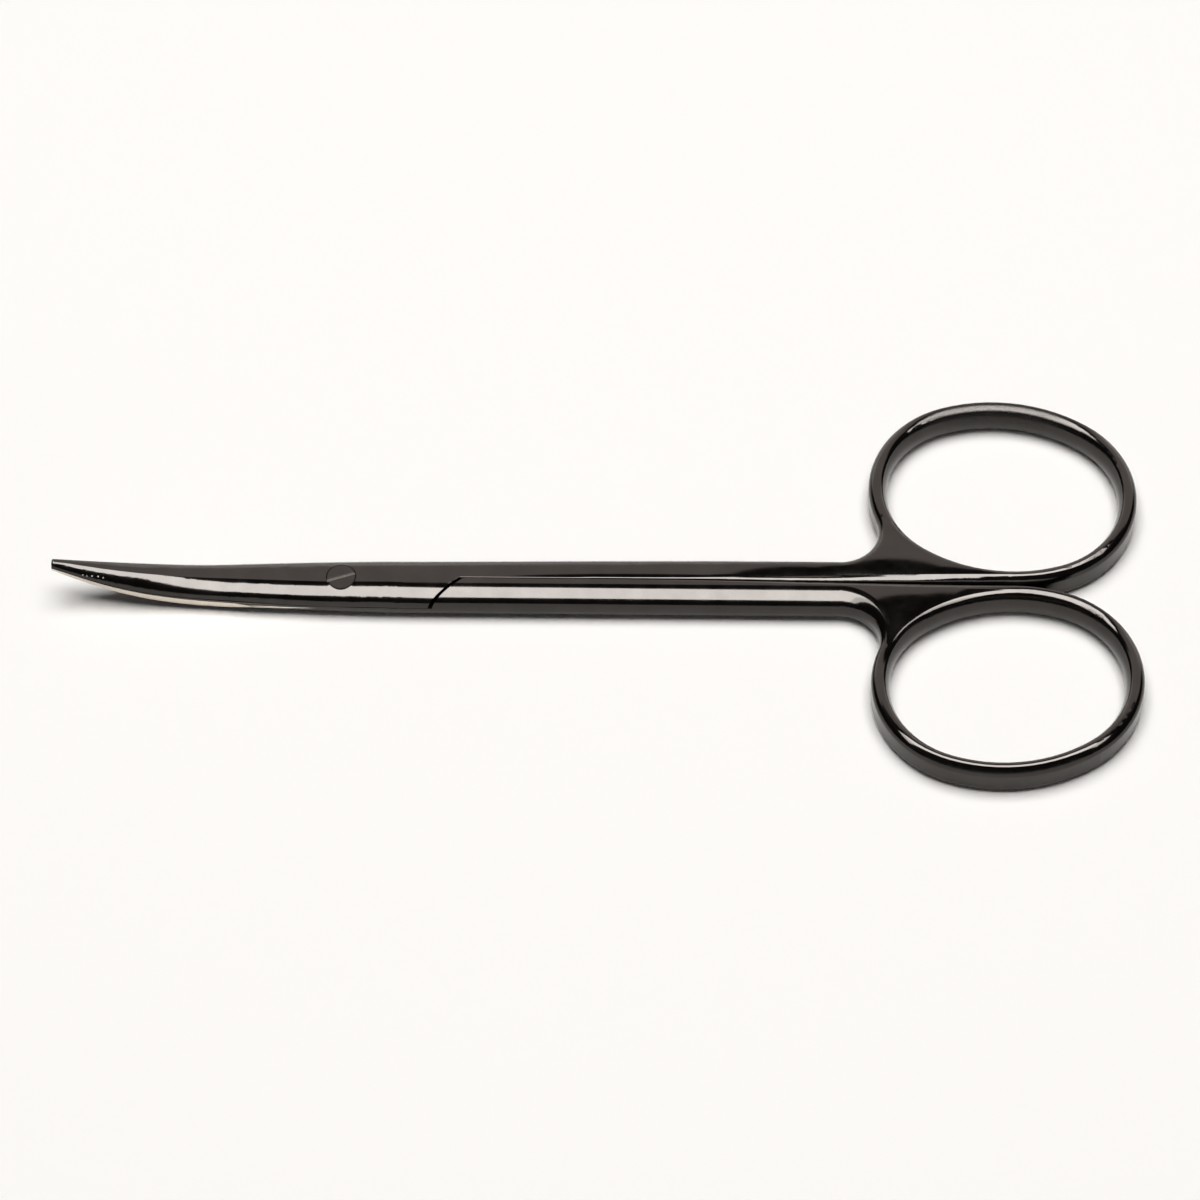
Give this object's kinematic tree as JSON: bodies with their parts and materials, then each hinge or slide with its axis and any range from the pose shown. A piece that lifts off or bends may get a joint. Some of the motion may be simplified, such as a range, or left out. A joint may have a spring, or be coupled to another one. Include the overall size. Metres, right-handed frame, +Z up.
{
  "type": "strabismus scissors",
  "caption": "Slim surgical scissors with short upward-curved blunt blades, a flush slotted screw pivot and oval finger rings, in a glossy black coating.",
  "frame": {"origin": "middle of the length and of the width, on the surface that the scissors lie on", "axes": "+X from the blades to the finger rings, +Y across the closed scissors to the ring of the upper half, +Z up; the screw's axis is upright at x = -26.8 mm"},
  "size_m": [0.1142, 0.0486, 0.0058],
  "materials": {
    "black_coating_upper": "glossy black coating on forged stainless steel",
    "black_coating_lower": "glossy black coating on forged stainless steel",
    "black_coating_screw": "satin black coating on stainless steel"
  },
  "bodies": {
    "lower": {"lower_half": "black_coating_lower", "pivot_screw": "black_coating_screw"},
    "upper": {"upper_half": "black_coating_upper"}
  },
  "joints": [
    {"name": "blades_open", "type": "hinge", "parent": "lower", "child": "upper", "pos_m": [-0.02678, 0, 0.00185], "axis": [0, 0, 1], "range_deg": [0, 75]}
  ]
}
